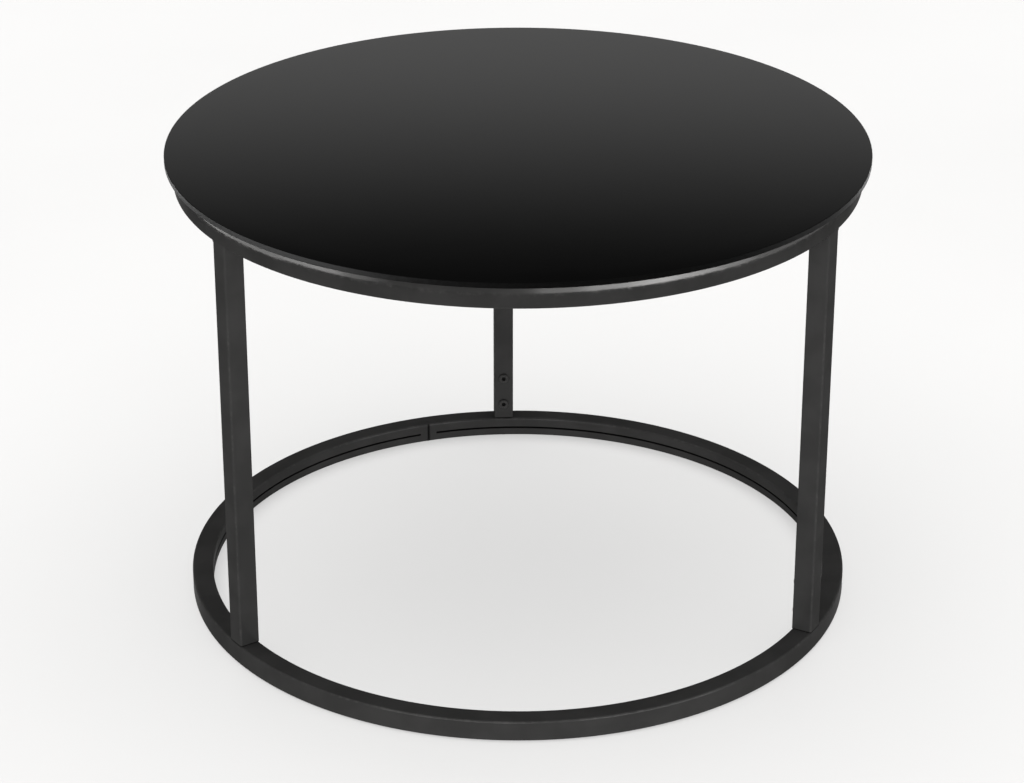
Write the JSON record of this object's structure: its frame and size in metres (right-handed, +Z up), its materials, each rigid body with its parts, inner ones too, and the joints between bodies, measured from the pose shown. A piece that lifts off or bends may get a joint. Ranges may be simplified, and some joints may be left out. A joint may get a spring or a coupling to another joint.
{
  "type": "round nesting table",
  "caption": "Round black glass table on a gloss black square-tube frame: an upper and a floor ring joined by square legs, the tall table of a nest.",
  "frame": {"origin": "on the floor, at the centre of the rings", "axes": "+Z up through the glass; the back leg stands at +Y, and the front of the table, between its other two legs, is -Y"},
  "size_m": [0.65, 0.65, 0.45],
  "materials": {
    "black_glass": "polished black tempered glass",
    "gloss_black_steel": "gloss black coat",
    "primed_steel": "matt black primer",
    "black_screw": "black oxide",
    "zinc_nut": "zinc plated",
    "clear_rubber": "clear soft polyurethane",
    "black_plastic": "moulded, matt"
  },
  "bodies": {
    "frame": {"top_ring": "gloss_black_steel", "base_ring": "gloss_black_steel", "leg_back": "gloss_black_steel", "leg_front_left": "gloss_black_steel", "leg_front_right": "gloss_black_steel", "spigot_back": "primed_steel", "spigot_front_left": "primed_steel", "spigot_front_right": "primed_steel", "screw_back_lower": "black_screw", "screw_back_upper": "black_screw", "screw_front_left_lower": "black_screw", "screw_front_left_upper": "black_screw", "screw_front_right_lower": "black_screw", "screw_front_right_upper": "black_screw", "nut_back_lower": "zinc_nut", "nut_back_upper": "zinc_nut", "nut_front_left_lower": "zinc_nut", "nut_front_left_upper": "zinc_nut", "nut_front_right_lower": "zinc_nut", "nut_front_right_upper": "zinc_nut", "bumper_1": "clear_rubber", "bumper_2": "clear_rubber", "bumper_3": "clear_rubber", "bumper_4": "clear_rubber", "bumper_5": "clear_rubber", "bumper_6": "clear_rubber", "glide_1": "black_plastic", "glide_2": "black_plastic", "glide_3": "black_plastic", "glide_4": "black_plastic", "glide_5": "black_plastic", "glide_6": "black_plastic"},
    "glass": {"glass_top": "black_glass"}
  },
  "joints": [
    {"name": "glass_lift", "type": "slide", "parent": "frame", "child": "glass", "axis": [0, 0, 1], "range_m": [0, 0.15]}
  ]
}
